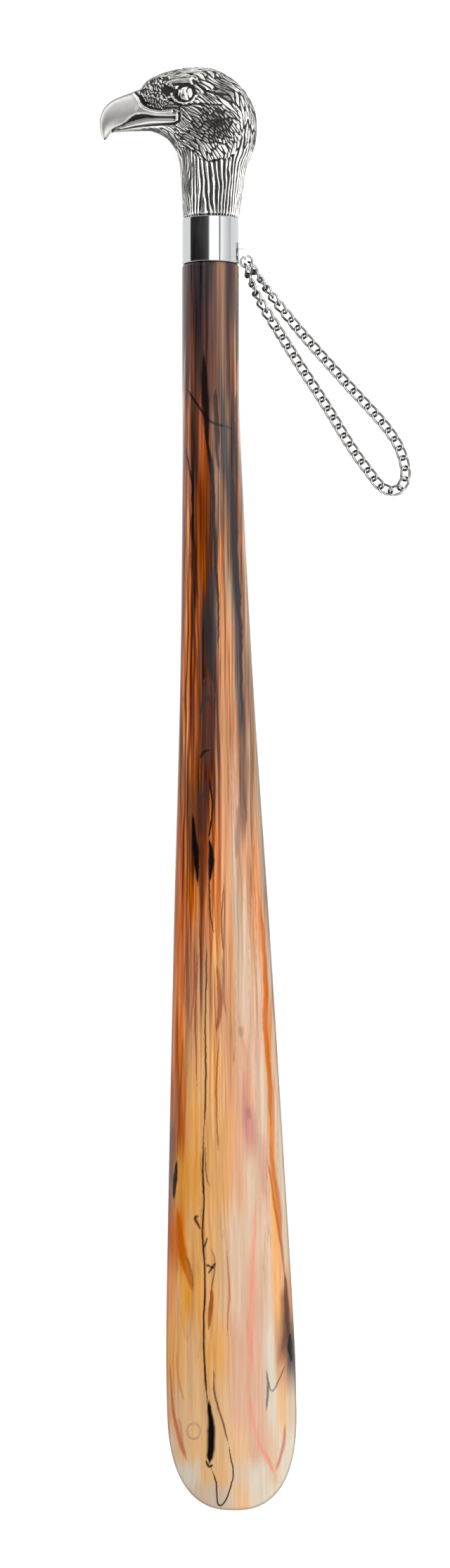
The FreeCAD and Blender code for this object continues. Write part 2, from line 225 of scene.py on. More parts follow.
class Nodes:
    """A material or world node tree under construction."""

    def __init__(self, owner):
        owner.use_nodes = True
        self.tree = owner.node_tree
        self.tree.nodes.clear()

    def add(self, kind, **settings):
        node = self.tree.nodes.new("ShaderNode" + kind)
        for key, value in settings.items():
            setattr(node, key, value)
        return node

    def put(self, socket, value):
        """Sets a socket to a number or a colour, or links an output to it."""
        if isinstance(value, tuple):
            socket.default_value = (*value, 1.0)
        elif isinstance(value, (int, float)):
            socket.default_value = value
        else:
            self.tree.links.new(value, socket)

    def fill(self, node, **values):
        """Gives a node's inputs their numbers, colours or links, by name."""
        for key, value in values.items():
            self.put(node.inputs[key.replace("_", " ")], value)

    def math(self, operation, a, b=0.0, clamp=False):
        node = self.add("Math", operation=operation, use_clamp=clamp)
        self.put(node.inputs[0], a)
        self.put(node.inputs[1], b)
        return node.outputs[0]

    def span(self, value, low, high, out_low, out_high):
        """A smooth rise or fall from one number to another, as a value goes from low to high."""
        node = self.add("MapRange", interpolation_type="SMOOTHSTEP")
        self.fill(node, Value=value, From_Min=low, From_Max=high, To_Min=out_low, To_Max=out_high)
        return node.outputs["Result"]

    def mix(self, factor, a, b):
        node = self.add("Mix", data_type="RGBA")
        for socket, value in zip((node.inputs[0], node.inputs[6], node.inputs[7]), (factor, a, b)):
            self.put(socket, value)
        return node.outputs[2]

    def noise(self, scale, detail, stretch=(1.0, 1.0, 1.0)):
        """Noise over the object's own coordinates."""
        coords = self.add("TexCoord")
        mapping = self.add("Mapping")
        mapping.inputs["Scale"].default_value = stretch
        self.fill(mapping, Vector=coords.outputs["Object"])
        node = self.add("TexNoise")
        self.fill(node, Scale=scale, Detail=detail, Roughness=NOISE_ROUGHNESS,
                  Vector=mapping.outputs["Vector"])
        return node.outputs["Fac"]

    def bump(self, height, distance, strength):
        node = self.add("Bump")
        self.fill(node, Distance=distance, Strength=strength, Height=height)
        return node.outputs["Normal"]

    def facing(self):
        """How far the surface turns away from the viewer, from 0 to 1."""
        node = self.add("LayerWeight")
        self.fill(node, Blend=EVEN_RIM)
        return node.outputs["Facing"]

    def painted(self, name, output="Fac"):
        """A mesh attribute of this name."""
        return self.add("Attribute", attribute_name=name).outputs[output]

    def surface(self, **values):
        """The material's Principled shader."""
        shader = self.add("BsdfPrincipled")
        self.fill(shader, **values)
        self.fill(self.add("OutputMaterial"), Surface=shader.outputs[0])


def make_material(name, build):
    material = bpy.data.materials.new(name)
    build(Nodes(material))
    return material


def antique_silver(n):
    """Cast silver, bright on the raised places, darkened by the mesh attribute that holds its tarnish and
    painted shade, and by painted shade where it turns away from the viewer.
    """
    dull = (0.82, 0.805, 0.76)
    bright = (0.93, 0.925, 0.9)
    painted_edge_shade = (0.04, 0.04, 0.038)
    tarnish_and_shade = (0.016, 0.015, 0.014)
    patina_and_shade = n.painted("patina_and_shade")
    blotches = n.noise(420.0, 4.0)
    soft = n.noise(90.0, 3.0)
    grime_and_shade = n.math("ADD", patina_and_shade, n.math("MULTIPLY", n.math("SUBTRACT", blotches, 0.5), 0.35))
    grime_and_shade = n.math("ADD", grime_and_shade, n.math("MULTIPLY", n.math("SUBTRACT", soft, 0.5), 0.15), clamp=True)
    grime_and_shade = n.span(grime_and_shade, 0.12, 0.85, 0.0, 1.0)
    silver = n.mix(soft, dull, bright)
    # painted shade: the silver goes near black where the surface turns away from the viewer
    silver = n.mix(n.span(n.facing(), 0.36, 0.78, 0.0, 0.95), silver, painted_edge_shade)
    # tarnish and painted shade darken the silver
    colour = n.mix(grime_and_shade, silver, tarnish_and_shade)
    satin = n.painted("satin")
    roughness = n.math("ADD", n.span(grime_and_shade, 0.0, 1.0, 0.24, 0.6), n.math("MULTIPLY", satin, 0.22))
    metal = n.span(grime_and_shade, 0.5, 1.0, 1.0, 0.3)
    normal = n.bump(n.noise(1500.0, 2.0), 0.00006, 0.35)
    n.surface(Base_Color=colour, Metallic=metal, Roughness=roughness, Normal=normal)


def polished_steel(rough, tint, scratch, edge=None):
    """Polished metal; with an edge colour, painted shade darkens it where it turns away."""
    def build(n):
        fine = n.noise(900.0, 2.0, (1.0, 0.06, 1.0))
        cloud = n.noise(60.0, 2.0)
        colour = n.mix(cloud, tuple(0.93 * c for c in tint), tint)
        if edge:
            colour = n.mix(n.span(n.facing(), 0.03, 0.28, 0.0, 1.0), colour, edge)
        roughness = n.span(fine, 0.3, 0.7, rough, rough + scratch)
        normal = n.bump(fine, 0.00002, 0.12)
        n.surface(Base_Color=colour, Metallic=1.0, Roughness=roughness, Normal=normal)
    return build


def horn(n):
    """Polished horn in the colours of the paint attribute, with painted shade where it turns away from the
    viewer, letting some light in where clear is high.
    """
    rim_shadow = (0.16, 0.13, 0.11)
    paint = n.painted("paint", "Color")
    clear = n.painted("clear")
    fibres = n.noise(1400.0, 3.0, (1.0, 0.045, 1.0))
    broad = n.noise(260.0, 3.0, (1.0, 0.05, 1.0))
    shade = n.add("HueSaturation")
    n.fill(shade, Value=n.span(fibres, 0.25, 0.75, 0.92, 1.03),
           Saturation=n.span(broad, 0.25, 0.75, 1.1, 0.94))
    # painted shade: the horn darkens where it turns away from the viewer
    painted_edge_shade = n.span(n.facing(), 0.72, 0.97, 0.0, 0.6)
    n.fill(shade, Color=n.mix(painted_edge_shade, paint, rim_shadow))
    roughness = n.span(broad, 0.2, 0.8, 0.1, 0.2)
    normal = n.bump(broad, 0.00004, 0.18)
    n.surface(Base_Color=shade.outputs["Color"], Roughness=roughness, IOR=1.36, Specular_IOR_Level=0.3,
              Normal=normal, Subsurface_Weight=n.span(clear, 0.0, 1.0, 0.0, 0.25), Subsurface_Scale=0.002)


def floor_paper(n):
    """White paper that glows a little, so that the floor is evenly bright."""
    paper = n.mix(n.noise(40.0, 2.0), (0.6, 0.6, 0.6), (0.62, 0.62, 0.62))
    n.surface(Base_Color=paper, Roughness=0.9, Emission_Color=(1.0, 1.0, 1.0), Emission_Strength=0.66)


SILVER = make_material("antique_silver_cast", antique_silver)
CHROME = make_material("polished_chrome", polished_steel(0.045, (0.46, 0.465, 0.475), 0.05))
STEEL = make_material("machined_steel", polished_steel(0.22, (0.62, 0.62, 0.63), 0.15))
# the chain's near-black edge colour is painted shade along the links' outlines
CHAIN = make_material("polished_chain_steel",
                      polished_steel(0.08, (0.8, 0.79, 0.77), 0.08, (0.005, 0.005, 0.005)))
HORN = make_material("amber_horn", horn)


# -------- the eagle's head

# Each station is underside x, y, back x, y and half the thickness, from the neck to the beak's tip.
STATIONS = [
    (-10.1, 213.1, 10.4, 213.1, 10.3),
    (-10.4, 219.0, 11.1, 219.0, 10.6),
    (-10.8, 226.0, 12.2, 225.5, 11.4),
    (-11.3, 233.0, 13.3, 233.0, 12.8),
    (-12.2, 237.6, 15.3, 237.6, 14.2),
    (-13.6, 240.8, 16.8, 243.0, 15.6),
    (-15.6, 243.5, 17.15, 249.9, 16.3),
    (-17.6, 245.2, 16.1, 255.2, 16.5),
    (-19.4, 246.1, 13.0, 261.0, 16.4),
    (-21.0, 246.7, 8.3, 265.7, 16.0),
    (-22.6, 247.0, 2.4, 269.0, 15.2),
    (-24.2, 247.05, -4.0, 270.1, 14.0),
    (-25.8, 247.0, -11.0, 269.6, 12.5),
    (-27.4, 246.9, -17.5, 268.0, 10.8),
    (-29.0, 246.8, -23.0, 265.0, 9.0),
    (-30.6, 246.7, -25.8, 262.4, 7.6),
    (-32.4, 246.5, -29.6, 261.0, 6.6),
    (-34.4, 246.3, -33.6, 259.6, 5.6),
    (-36.4, 246.1, -37.4, 257.8, 4.6),
    (-37.9, 245.7, -40.2, 255.0, 3.6),
    (-38.5, 245.1, -41.6, 251.3, 2.7),
    (-38.9, 244.4, -41.6, 248.0, 2.0),
    (-39.3, 243.9, -41.0, 245.2, 1.2),
    (-39.8, 243.3, -40.0, 243.5, 0.4),
]
ROUNDNESS = 2.2
HEAD_GRID = ((620, 560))

CERE = [(-29.1, 261.2), (-27.6, 259.4), (-26.9, 257.5), (-25.7, 255.9), (-23.1, 254.7), (-19.1, 254.0),
        (-14.7, 254.3)]
CERE_INNER = [(-28.2, 261.2), (-26.7, 259.8), (-26.1, 257.9), (-24.8, 256.6), (-22.5, 255.4), (-18.7, 254.8)]
NOSTRIL_LINE = [(-26.9, 260.9), (-23.4, 259.8), (-20.0, 259.0), (-17.0, 258.4), (-15.6, 259.6)]
NOSTRIL = [(-26.1, 259.0), (-25.0, 257.3), (-23.1, 257.5)]
BROW = [(-15.6, 264.6), (-12.4, 265.3), (-9.4, 265.7), (-7.1, 265.9)]
UNDER_BROW = [(-14.1, 264.0), (-11.1, 264.5), (-8.2, 264.5), (-6.3, 263.6)]
LOWER_LID = [(-14.8, 260.9), (-13.9, 258.8), (-11.8, 257.6), (-9.4, 257.3), (-7.1, 258.1), (-5.9, 259.8)]
BELOW_LID = [(-14.9, 258.6), (-12.6, 256.9), (-9.6, 256.3), (-6.6, 257.0), (-4.0, 256.9)]
BEHIND_EYE = [(-6.7, 265.5), (-3.5, 263.4), (-0.2, 261.5), (3.6, 260.9), (6.6, 260.4)]
BELOW_EYE = [(-4.0, 257.3), (0.3, 256.9), (4.1, 256.6)]
TEMPLE = [(-4.6, 260.2), (-4.4, 260.7)]
PUPILS = [[(-11.5, 262.9), (-11.1, 261.2), (-11.6, 259.0)], [(-8.3, 263.0), (-8.9, 261.3), (-8.2, 259.2)]]
MOUTH_TOP = [(-37.7, 246.1), (-36.0, 247.8), (-33.5, 248.8), (-31.8, 249.9), (-29.7, 252.0), (-28.4, 253.0),
             (-26.3, 253.2), (-23.8, 252.8), (-20.8, 252.1), (-16.6, 252.0), (-13.5, 252.1)]
MOUTH_BOTTOM = [(-13.5, 251.6), (-16.6, 251.5), (-20.8, 251.4), (-24.2, 251.0), (-28.4, 250.1),
                (-31.8, 249.1)]
MANDIBLE = [(-33.5, 247.8), (-28.4, 249.3), (-23.4, 250.1), (-18.3, 250.5), (-12.8, 250.5)]
BELOW_MANDIBLE = [(-36.7, 246.5), (-32.2, 247.3), (-27.6, 248.1), (-22.5, 248.6), (-17.5, 249.0),
                  (-13.7, 249.4), (-11.9, 250.5), (-11.8, 253.3)]
BEAK_SHADOW = [(-35.5, 249.6), (-31.0, 251.0), (-27.0, 252.0), (-23.5, 252.9)]
DISC = [(-12.4, 246.5), (-10.3, 242.7), (-7.3, 239.4), (-4.0, 236.4), (-1.4, 235.4), (2.4, 235.8),
        (6.6, 236.6), (9.1, 237.9), (10.6, 240.2), (11.2, 243.2)]
BARE_EDGE = CERE + [(-12.4, 253.6)] + BELOW_MANDIBLE[::-1]
BARE = BARE_EDGE + [(-46.0, 240.0), (-46.0, 266.0)]
EYE = (-9.5, 260.9)
EYE_RADII = (3.3, 3.05)
# The ridges and grooves of the face: path, height and half width.
CHISELLED = [
    (PUPILS[0], -0.45, 0.36), (PUPILS[1], -0.45, 0.36), (UNDER_BROW, -0.45, 0.4), (LOWER_LID, 0.95, 0.5),
    (BELOW_LID, -0.5, 0.4), (TEMPLE, 0.55, 1.5), (BEHIND_EYE, -0.55, 0.5), (BELOW_EYE, -0.5, 0.4),
    (CERE, 0.45, 0.55), (CERE_INNER, -0.55, 0.42), (NOSTRIL_LINE, 0.55, 0.45), (NOSTRIL, -0.9, 0.55),
    (MANDIBLE, 0.45, 0.7), (BELOW_MANDIBLE, -0.95, 0.5),
]
# How many feathers go round the neck and the head, and how long they are.
NECK_BARBS = 48
NECK_FEATHERS = 40
NECK_FEATHER_LENGTH = 15
HEAD_FEATHERS = 64
HEAD_FEATHER_LENGTH = 8.5
VANES = 230
FEATHER_DEPTH = 0.48
FAN_CENTRE = (-27.0, 221.0)
FAN_RADIUS = 34
PIT_DEPTH = 0.55
MOUTH_DEPTH = 1.5


def ellipse(x, y, centre, radii, tilt=0.0):
    """Distance from an ellipse's centre, where 1 is its edge."""
    c = math.cos(math.radians(tilt))
    s = math.sin(math.radians(tilt))
    dx = x - centre[0]
    dy = y - centre[1]
    return np.hypot((dx * c + dy * s) / radii[0], (dy * c - dx * s) / radii[1])


def head_grid():
    """The head's plain form, with x and y as a camera above the cheek sees each of its points."""
    rows, cols = HEAD_GRID
    station = through(STATIONS, rows)
    turn = np.linspace(0, 2 * math.pi, cols, endpoint=False)[None, :]
    out = np.sign(np.cos(turn)) * np.abs(np.cos(turn)) ** (2 / ROUNDNESS)
    up = np.sign(np.sin(turn)) * np.abs(np.sin(turn)) ** (2 / ROUNDNESS)
    low = station[:, None, 0:2]
    high = station[:, None, 2:4]
    flat = (low + high) / 2 + (high - low) / 2 * out[:, :, None]
    base = np.dstack([flat, station[:, None, 4] * up])
    normal = grid_normals(base)
    if normal[rows // 4, 0, 0] < 0:
        normal = -normal
    near = CAMERA_DISTANCE / (CAMERA_DISTANCE - np.abs(base[:, :, 2]))
    x = base[:, :, 0] * near
    along = lengths_along((station[:, 0:2] + station[:, 2:4]) / 2)
    backs = lengths_along(station[:, 2:4])
    return SimpleNamespace(
        rows=rows, base=base, normal=normal, out=out, up=up, x=x, y=base[:, :, 1] * near,
        side=np.sign(base[:, :, 2]), cheek=np.abs(up) ** 0.5 + 0 * x,
        down=along[:, None] * (1 - out) / 2 + backs[:, None] * (1 + out) / 2,
        around=turn / (2 * math.pi) + 0 * x)


def patch(g, centre, radii, tilt, outer, inner):
    """1 inside an elliptical patch, fading to 0 from the inner to the outer share of its radii."""
    return rise(outer, inner, ellipse(g.x, g.y, centre, radii, tilt))


def press(g, path, amount, width):
    """A ridge along a path, or a groove where the amount is negative."""
    return amount * np.exp(-(distance_to(g.x, g.y, path) / width) ** 2) * g.cheek


def mark_regions(g):
    """Adds each region's mask to the grid: 1 in the region and 0 outside it."""
    g.bare = inside(g.x, g.y, BARE)
    g.bare_edge = distance_to(g.x, g.y, BARE_EDGE)
    g.feathered = (1 - g.bare) * rise(0.45, 1.3, g.bare_edge)
    g.disc = inside(g.x, g.y, DISC + [(14.5, 250.0), (14.0, 268.0), (-12.0, 268.0)])
    g.disc_edge = distance_to(g.x, g.y, DISC)
    g.in_neck = (1 - g.disc) * rise(242.5, 238.0, g.y)
    # the skin round the nostril and the small feathers on the forehead are pitted
    pitted = np.maximum(patch(g, (-21.7, 258.9), (6.2, 4.3), -8, 1.1, 0.8),
                        patch(g, (-19.6, 263.2), (5.6, 3.4), 25, 1.1, 0.8))
    g.pitted = pitted * g.feathered * g.cheek
    g.eye = ellipse(g.x, g.y, EYE, EYE_RADII)
    g.socket = rise(1.35, 1.12, g.eye) * g.cheek
    g.front = patch(g, (-15.6, 261.7), (3.7, 1.9), -15, 1.3, 0.6) * g.cheek
    g.brow = press(g, BROW, 1.0, 1.0)
    outline = MOUTH_TOP + MOUTH_BOTTOM
    g.mouth = inside(g.x, g.y, outline)
    g.mouth_edge = distance_to(g.x, g.y, outline + outline[:1])


def neck_feathers(g):
    """Long wavy barbs with the ends of long feathers among them."""
    around = g.around
    down = g.down
    sway = noise(around * 12, down / 11, 5, 12) * 0.9 + noise(around * 36, down / 5, 6, 36) * 0.22
    barb = 0.5 + 0.5 * np.cos(2 * math.pi * (around * NECK_BARBS + sway))
    cells = cell_edges(around * NECK_FEATHERS + sway, down / NECK_FEATHER_LENGTH, 11, NECK_FEATHERS)
    return 0.85 * barb + 0.3 * rise(0.02, 0.3, cells) - 0.1


def head_feathers(g):
    """Shorter feathers with fine vanes."""
    around = g.around
    down = g.down
    slant = noise(around * 9, down / 8, 7, 9) * 1.6 + noise(around * 40, down / 4, 8, 40) * 0.3
    cells = cell_edges(around * HEAD_FEATHERS + slant, down / HEAD_FEATHER_LENGTH, 21, HEAD_FEATHERS)
    vane = 0.09 * np.cos(2 * math.pi * (around * VANES + 2 * slant))
    return rise(0.02, 0.36, cells) + vane


def cheek_feathers(g):
    """Streaks that fan out from below the head, broken into dots in the middle of the cheek."""
    radius = np.hypot(g.x - FAN_CENTRE[0], g.y - FAN_CENTRE[1])
    fan = np.arctan2(g.y - FAN_CENTRE[1], g.x - FAN_CENTRE[0]) * FAN_RADIUS
    wander = noise(g.x / 4.0, g.y / 4.0, 9) * 0.55
    streak = cell_edges(radius / 1.1 + wander + g.side * 50, fan / 6.5, 31)
    dotted = cell_edges(radius / 1.0 + wander + g.side * 50, fan / 2.3, 33)
    broken = patch(g, (2.6, 248.5), (7.6, 7.4), 0.0, 1.15, 0.75)
    cells = rise(0.03, 0.36, streak) * (1 - broken) + rise(0.06, 0.5, dotted) * broken
    return cells + 0.08 * np.cos(2 * math.pi * (radius / 0.42 + wander))


def plumage(g):
    """Height of the feathers and pits, which leave the eye, the brow and the hollow before the eye clear."""
    on_cheek = patch(g, (-1.0, 248.5), (12.2, 13.0), -20, 1.12, 0.85) * rise(0.25, 0.5, np.abs(g.up))
    feather = head_feathers(g) * (1 - on_cheek) + cheek_feathers(g) * on_cheek
    feather = feather * (1 - g.in_neck) + neck_feathers(g) * g.in_neck
    chin = rise(0.0, -0.6, g.out) * rise(236.0, 243.0, g.y) * (1 - g.disc)
    depth = (FEATHER_DEPTH + 0.06 * g.in_neck - 0.2 * chin) * g.feathered
    height = depth * (feather - 0.62)
    jitter = noise(g.x / 1.1, g.y / 1.1, 42) * 0.5
    pits = rise(0.05, 0.5, cell_edges(g.x / 1.15 + jitter, g.y / 1.7 - jitter + g.side * 40, 41))
    height = height * (1 - g.pitted) + g.pitted * PIT_DEPTH * (pits - 0.6)
    return height * (1 - np.clip(np.maximum(g.socket, g.front) + g.brow, 0, 1))


def face_form(g):
    """Height of the eye, brow, cere, beak and mouth, and of the facial disc's ragged edge."""
    form = -0.6 * g.front
    form += 1.7 * np.clip(1 - g.eye ** 2, 0, 1) * g.cheek - 0.3 * g.socket
    form -= 0.3 * np.exp(-((g.eye - 1.08) / 0.08) ** 2) * g.cheek
    form += g.brow
    for path, amount, width in CHISELLED:
        form += press(g, path, amount, width)
    lips = 0.4 * np.exp(-(g.mouth_edge / 0.35) ** 2)
    form -= g.cheek * MOUTH_DEPTH * (g.mouth * rise(0.0, 0.7, g.mouth_edge) + lips)
    ragged = 0.35 + 0.65 * rise(-0.2, 0.5, noise(g.x / 1.6, g.y / 1.6, 43))
    lifted = g.disc * rise(250.0, 241.0, g.y) * (1 - np.exp(-(g.disc_edge / 1.6) ** 2))
    form += g.cheek * (0.45 * lifted - 0.6 * ragged * np.exp(-(g.disc_edge / 0.5) ** 2))
    form += 0.45 * rise(-25.9, -25.2, g.x) * rise(-16.0, -22.0, g.x) * rise(261.0, 263.0, g.y)
    return form


def tarnish_and_shade(g, height, smooth_beak):
    """How dark each point is: tarnish darkest in the hollows, painted shade towards the head's outline and
    under the beak, and rubbed bright on the beak and the eye.
    """
    step = 2
    cavity = blur(blur(height, 2 * step), 2 * step) - height
    wide = blur(blur(height, 4 * step), 4 * step) - height
    dirt_and_shade = rise(-0.07, 0.055, cavity) + rise(0.0, 0.35, wide) * 0.6
    patches = noise(g.x / 3.2, g.y / 3.2 + g.side * 30, 51) * 0.5
    patches = patches + noise(g.x / 1.4, g.y / 1.4 + g.side * 30, 52) * 0.3
    dark = patch(g, (1.2, 250.0), (9.0, 9.5), 35, 1.1, 0.5) * 0.42
    dark = dark + 0.35 * patch(g, (5.0, 262.0), (6.0, 3.5), -35, 1.1, 0.5)
    dirt_and_shade = dirt_and_shade + g.feathered * (dark + 0.4 * patches) + 0.15 * g.front + 0.15 * g.pitted
    # painted shade: the feathers darken towards the head's outline, where its sides turn away from the
    # viewer, on top of an even extra darkening; the beak's shadow along BEAK_SHADOW is painted shade too
    outline = 0.16 * (1 - g.in_neck) + 0.35 * rise(0.55, 0.15, np.abs(g.up))
    dirt_and_shade = dirt_and_shade * (1 - 0.3 * g.in_neck) + g.feathered * outline + 0.8 * press(g, BEAK_SHADOW, 1.0, 1.0)
    dirt_and_shade = dirt_and_shade + 0.8 * g.mouth * rise(0.0, 0.6, g.mouth_edge) * g.cheek
    dirt_and_shade = dirt_and_shade * (1 - 0.9 * rise(1.0, 0.85, g.eye) * g.cheek * (cavity < 0.03))
    return np.clip(dirt_and_shade * (1 - 0.7 * smooth_beak), 0, 1)


def make_eagle_head():
    g = head_grid()
    mark_regions(g)
    height = plumage(g) + blur(face_form(g), 1)
    height = height - 0.6 * rise(COLLAR_TOP + 1.0, COLLAR_TOP, g.base[:, :, 1])
    height *= rise(g.rows - 1, g.rows - 12, np.arange(g.rows))[:, None]
    smooth_beak = g.bare * rise(0.3, 1.0, g.bare_edge) * (1 - g.mouth) * (g.x < -14)
    head = tube_mesh("eagle_head_cast", g.base + g.normal * height[:, :, None])
    paint_value(head, "patina_and_shade", tarnish_and_shade(g, height, smooth_beak))
    paint_value(head, "satin", np.clip(smooth_beak, 0, 1))
    hand_over(head, "eagle_head", SILVER)


# -------- the horn

# The blade's section at each station y, as in the CAD part, whose blade ends 1.3 mm further out than TIP_END.
HALF_WIDTH = [(150, 10.7), (95, 11.9), (30, 13.9), (-53, 17.85), (-137, 21.5), (-200, 24.0), (-228, 24.6)]
HALF_THICK = [(150, 10.7), (100, 10.3), (60, 8.6), (0, 5.6), (-60, 3.7), (-130, 2.6), (-200, 2.0),
              (-275, 1.5)]
SAGITTA = [(150, 0.0), (100, 0.3), (60, 1.4), (0, 3.8), (-60, 6.2), (-130, 8.2), (-200, 9.0), (-275, 9.2)]
BLUNTNESS = [(150, 2.0), (60, 2.2), (0, 2.7), (-60, 3.3), (-130, 4.0), (-200, 5.0), (-275, 5.0)]
END_HEIGHT = [(150, 16.5), (100, 16.2), (60, 14.8), (0, 11.4), (-60, 7.6), (-130, 3.8), (-200, 1.2),
              (-275, 0.1)]
LEAN = 0.0207
LEAN_FROM = 150.0
TIP_START = -235.0
TIP_END = -273.2
TIP_POWER = 2.6
SHOULDER = 1.2
EDGE_ROUND = 1.6
HORN_GRID = ((1000, 360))
# How the points of a ring are shared out: most on the top, and closer together at the lips.
TOP_SHARE = 0.62
TURN_SPREAD = 0.2


def blend(table, y):
    """A smooth curve through a table's points, flat at both ends, as in the CAD part."""
    at = np.array([row[0] for row in table], float)[::-1]
    value = np.array([row[1] for row in table], float)[::-1]
    slope = np.zeros(len(at))
    slope[1:-1] = (value[2:] - value[:-2]) / (at[2:] - at[:-2])
    y = np.clip(y, at[0], at[-1])
    i = np.clip(np.searchsorted(at, y) - 1, 0, len(at) - 2)
    width = at[i + 1] - at[i]
    t = (y - at[i]) / width
    return ((2 * t ** 3 - 3 * t ** 2 + 1) * value[i] + (t ** 3 - 2 * t ** 2 + t) * width * slope[i]
            + (3 * t ** 2 - 2 * t ** 3) * value[i + 1] + (t ** 3 - t ** 2) * width * slope[i + 1])


PALETTE = {
    "black": (14, 10, 12),
    "ink": (50, 42, 44),
    "slate": (72, 66, 66),
    "umber": (76, 50, 44),
    "brown": (106, 60, 38),
    "russet": (140, 66, 28),
    "amber": (172, 88, 34),
    "orange": (200, 112, 50),
    "gold": (210, 148, 76),
    "honey": (214, 160, 102),
    "sand": (208, 168, 126),
    "copper": (204, 130, 80),
    "tan": (188, 138, 104),
    "mouse": (130, 98, 80),
    "taupe": (164, 138, 114),
    "smoke": (192, 172, 150),
    "peach": (200, 148, 110),
    "mauve": (186, 128, 118),
    "rose": (199, 156, 130),
    "pink": (214, 134, 112),
    "blush": (201, 172, 146),
    "pearl": (200, 188, 170),
}
# Colours across the horn, from its left edge to its right, at each y. They stand at the shares in ACROSS.
ACROSS = [-0.93, -0.8, -0.6, -0.35, -0.1, 0.15, 0.4, 0.65, 0.8, 0.93]
PAINT = [
    (192, "slate slate ink ink ink umber mouse ink umber mouse"),
    (169, "slate umber umber ink umber umber mouse umber umber slate"),
    (148, "taupe umber brown umber umber brown slate mouse brown tan"),
    (127, "smoke copper umber russet brown mouse slate slate umber mouse"),
    (106, "smoke copper brown russet brown mouse mouse ink brown tan"),
    (84, "tan copper brown amber brown copper taupe ink mouse taupe"),
    (63, "tan copper amber umber black peach tan slate mouse taupe"),
    (42, "peach copper amber brown umber tan peach slate mouse taupe"),
    (21, "peach copper amber brown brown peach peach mouse mouse taupe"),
    (0, "peach copper brown brown brown peach rose mouse taupe taupe"),
    (-21, "copper copper brown russet copper peach rose peach tan taupe"),
    (-42, "copper orange copper copper copper peach blush peach copper taupe"),
    (-64, "copper orange tan tan honey peach blush blush copper smoke"),
    (-85, "copper orange tan honey tan peach blush rose copper tan"),
    (-106, "amber orange honey honey honey peach rose blush gold smoke"),
    (-127, "mouse amber honey honey honey peach mauve blush orange smoke"),
    (-148, "mouse gold gold honey honey peach blush rose gold smoke"),
    (-169, "amber orange honey honey sand blush blush blush honey smoke"),
    (-190, "copper honey gold honey sand blush rose blush honey tan"),
    (-212, "gold honey sand honey honey rose rose pearl tan slate"),
    (-233, "peach sand sand sand sand rose rose pearl sand smoke"),
    (-249, "blush sand sand sand sand sand rose blush pearl pearl"),
    (-259, "pearl pearl pearl sand sand blush pearl blush pearl pearl"),
    (-266, "pearl pearl smoke smoke smoke sand pearl pearl pearl pearl"),
]
